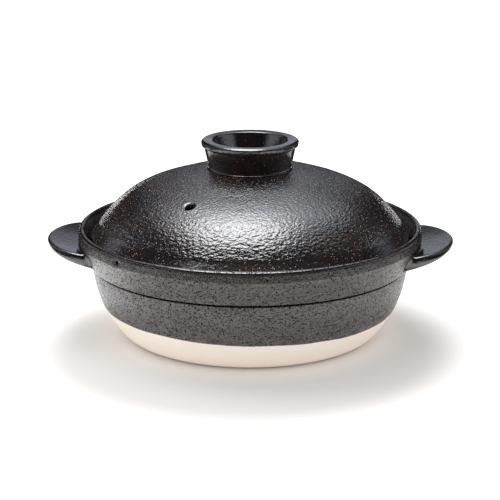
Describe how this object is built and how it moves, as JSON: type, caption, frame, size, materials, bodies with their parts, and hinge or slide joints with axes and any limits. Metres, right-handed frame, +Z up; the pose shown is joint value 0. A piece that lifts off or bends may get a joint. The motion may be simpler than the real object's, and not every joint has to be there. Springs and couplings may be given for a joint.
{
  "type": "lidded clay pot",
  "caption": "Wide clay cooking pot with a flared collar, two lug handles and a domed lid with a ring knob; black glaze over a bare clay foot.",
  "frame": {"origin": "on the supporting surface, under the middle of the pot", "axes": "+Z up along the axis of the bowl and lid, +X through the handles, the steam hole towards -Y and -X"},
  "size_m": [0.34, 0.2874, 0.1642],
  "materials": {
    "pot_clay_and_glaze": "satin brown-black glaze with pin pits down to an uneven line, bare cream clay below it",
    "speckled_glaze": "satin brown-black glaze with fine pale specks and a soft orange-peel surface",
    "dark_glaze": "glossy brown-black glaze"
  },
  "bodies": {
    "pot": {"pot_body": "pot_clay_and_glaze", "handle_left": "dark_glaze", "handle_right": "dark_glaze"},
    "lid": {"lid_dome": "speckled_glaze", "lid_brim": "speckled_glaze", "lid_knob": "dark_glaze"}
  },
  "joints": [
    {"name": "lid_lift", "type": "slide", "parent": "pot", "child": "lid", "axis": [0, 0, 1], "range_m": [0, 0.12]}
  ]
}
